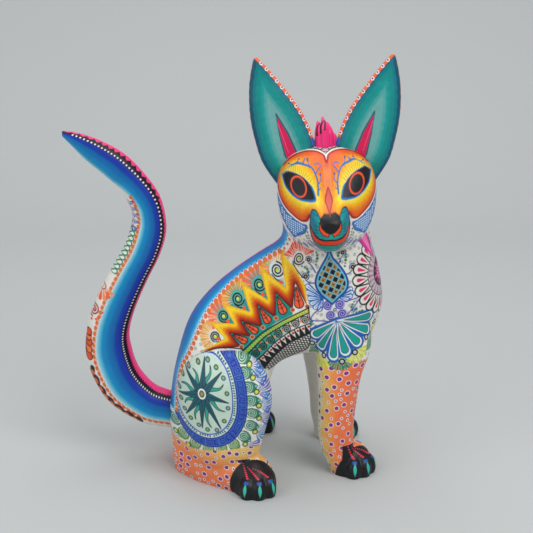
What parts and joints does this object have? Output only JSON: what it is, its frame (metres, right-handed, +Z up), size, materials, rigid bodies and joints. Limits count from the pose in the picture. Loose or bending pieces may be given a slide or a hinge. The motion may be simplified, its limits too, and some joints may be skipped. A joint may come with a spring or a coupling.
{
  "type": "painted wooden fox figure",
  "caption": "Sitting painted wooden fox with its head turned to one side, tall lift-out ears and a long curved lift-out tail, standing on flat paw soles.",
  "frame": {"origin": "middle of the figure's plan box on the plane it stands on", "axes": "+Z up, -Y the way the fox's body faces, +X towards its left side"},
  "size_m": [0.1658, 0.2793, 0.3631],
  "materials": {
    "body_paint": "gloss",
    "head_paint": "gloss",
    "ear_paint": "gloss",
    "crest_paint": "gloss",
    "tail_paint": "gloss",
    "leg_paint": "gloss",
    "haunch_paint": "gloss",
    "bare_wood": "matte"
  },
  "bodies": {
    "body": {"torso": "body_paint", "head": "head_paint", "crest": "crest_paint", "front_right_leg": "leg_paint", "front_left_leg": "leg_paint", "hind_right_leg": "haunch_paint", "hind_left_leg": "haunch_paint", "neck_dowel": "bare_wood", "front_right_dowel": "bare_wood", "front_left_dowel": "bare_wood", "hind_right_dowel": "bare_wood", "hind_left_dowel": "bare_wood"},
    "left_ear": {"left_ear": "ear_paint"},
    "right_ear": {"right_ear": "ear_paint"},
    "tail": {"tail": "tail_paint"}
  },
  "joints": [
    {"name": "left_ear_pull", "type": "slide", "parent": "body", "child": "left_ear", "axis": [0, -0.284, 0.9588], "range_m": [0, 0.036]},
    {"name": "right_ear_pull", "type": "slide", "parent": "body", "child": "right_ear", "axis": [0, 0.3338, 0.9426], "range_m": [0, 0.036]},
    {"name": "tail_pull", "type": "slide", "parent": "body", "child": "tail", "axis": [0, 1, 0], "range_m": [0, 0.034]}
  ]
}
